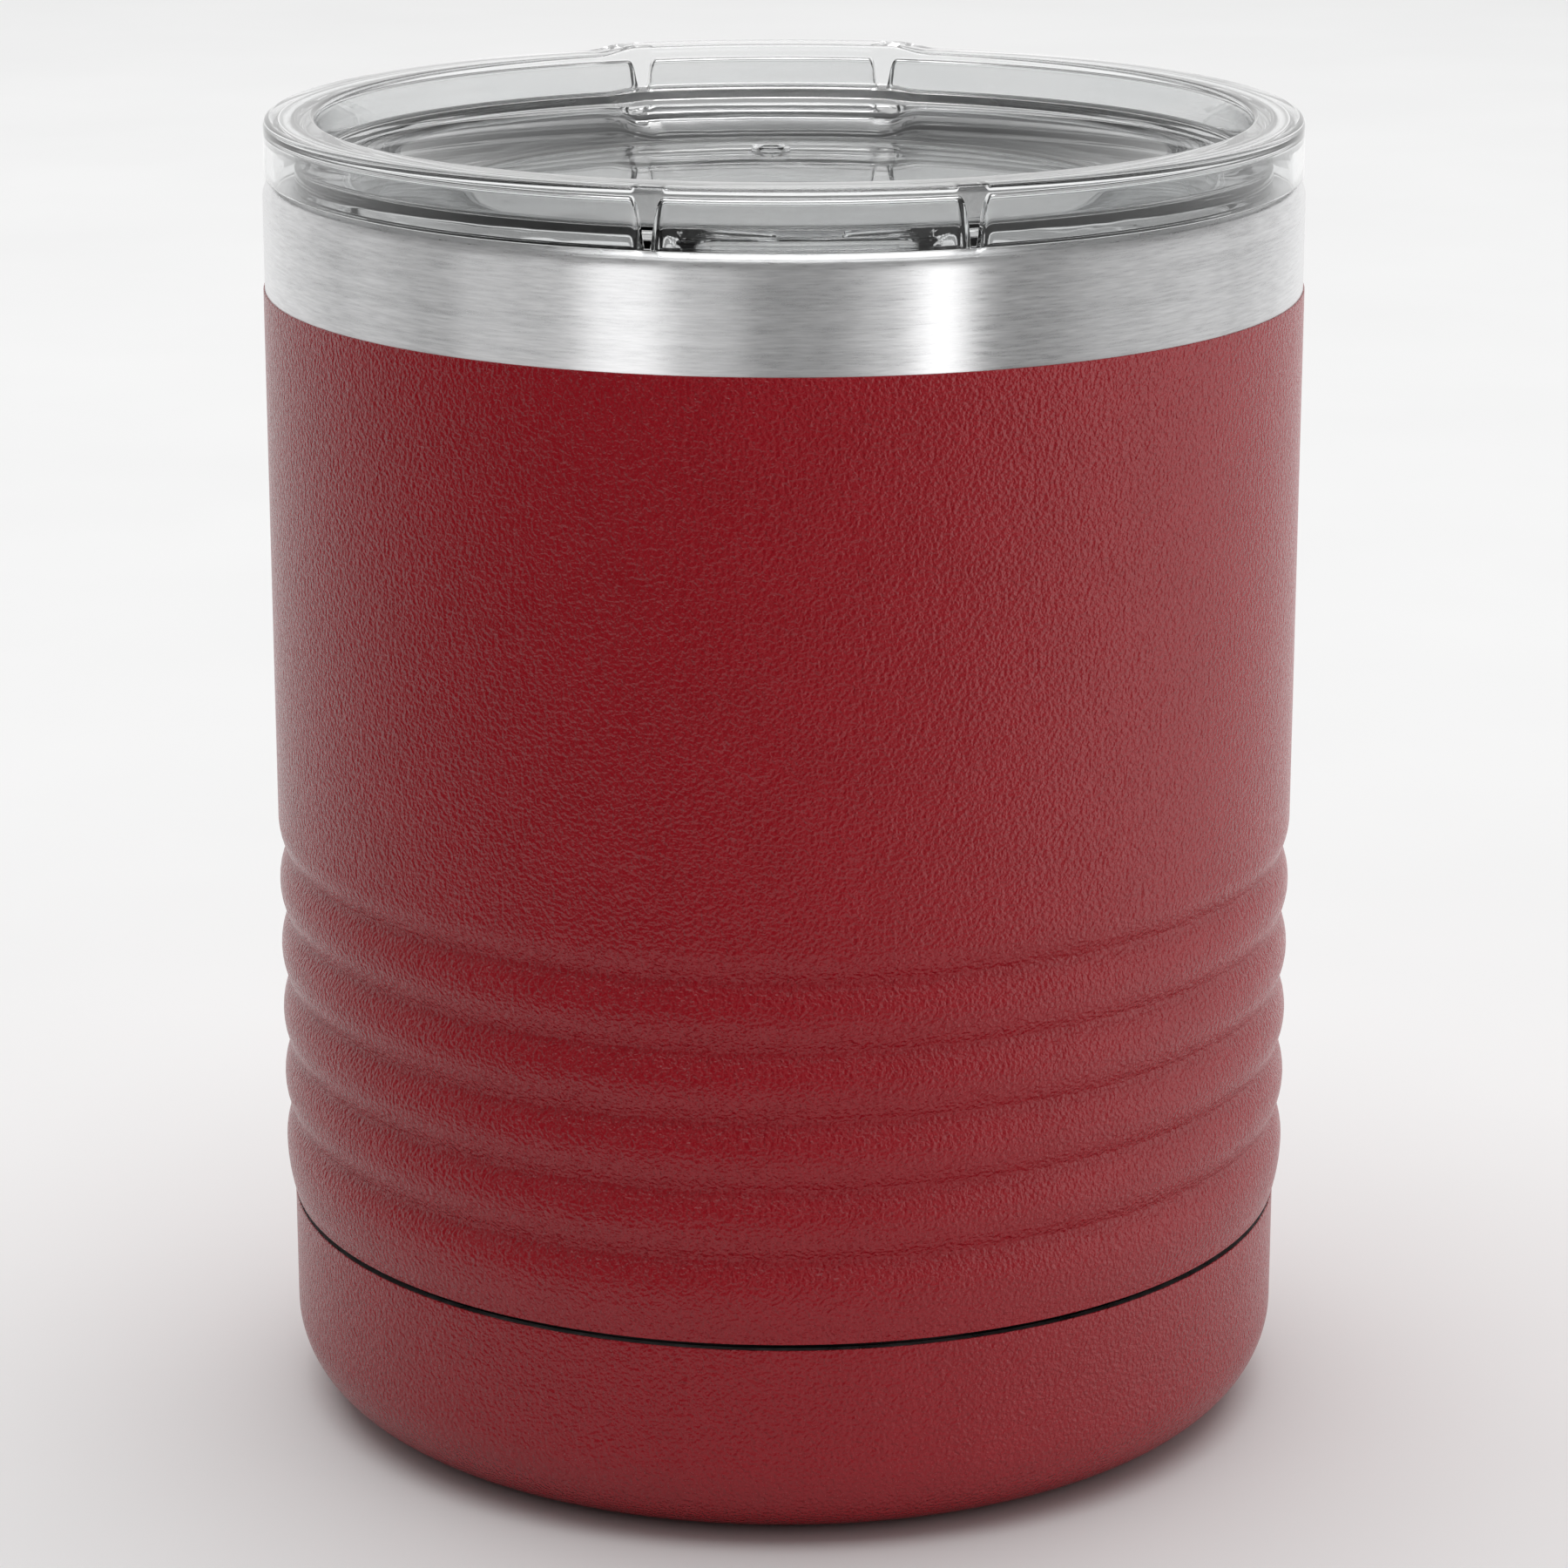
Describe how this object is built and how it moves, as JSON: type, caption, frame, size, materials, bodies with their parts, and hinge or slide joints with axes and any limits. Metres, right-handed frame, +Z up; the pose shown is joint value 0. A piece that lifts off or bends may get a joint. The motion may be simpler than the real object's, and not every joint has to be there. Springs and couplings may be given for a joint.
{
  "type": "insulated tumbler",
  "caption": "Short straight-sided vacuum-insulated steel tumbler with a clear press-in lid, textured dark red powder coat, rolled grooves near the foot and a separate base cap.",
  "frame": {"origin": "centre of the foot, on the surface that the tumbler stands on", "axes": "+Z up along the tumbler's axis; the lid's drinking opening points to -Y and its vent to +Y"},
  "size_m": [0.086, 0.086, 0.1103],
  "materials": {
    "brushed_steel": "brushed round the axis",
    "liner_steel": "satin, electropolished",
    "powder_coat": "textured powder coat, dark red",
    "clear_plastic": "clear, polished",
    "clear_silicone": "translucent silicone",
    "hidden_steel": "mill finish",
    "foil": "bright foil",
    "solder_glass": "fused bead",
    "getter_metal": "sintered powder",
    "adhesive": "cured"
  },
  "bodies": {
    "cup": {"outer_shell": "brushed_steel", "inner_cup": "liner_steel", "body_coat": "powder_coat", "base_cap": "brushed_steel", "base_coat": "powder_coat", "vacuum_base": "hidden_steel", "port_seal": "solder_glass", "getter": "getter_metal", "getter_clip": "hidden_steel", "radiation_foil": "foil", "cap_adhesive": "adhesive"},
    "gasket": {"lid_gasket": "clear_silicone"},
    "lid": {"lid_body": "clear_plastic"}
  },
  "joints": [
    {"name": "lid_lift", "type": "slide", "parent": "cup", "child": "gasket", "axis": [0, 0, 1], "range_m": [0, 0.04]},
    {"name": "lid_turn", "type": "hinge", "parent": "gasket", "child": "lid", "pos_m": [0, 0, 0.1], "axis": [0, 0, 1], "continuous": true}
  ]
}
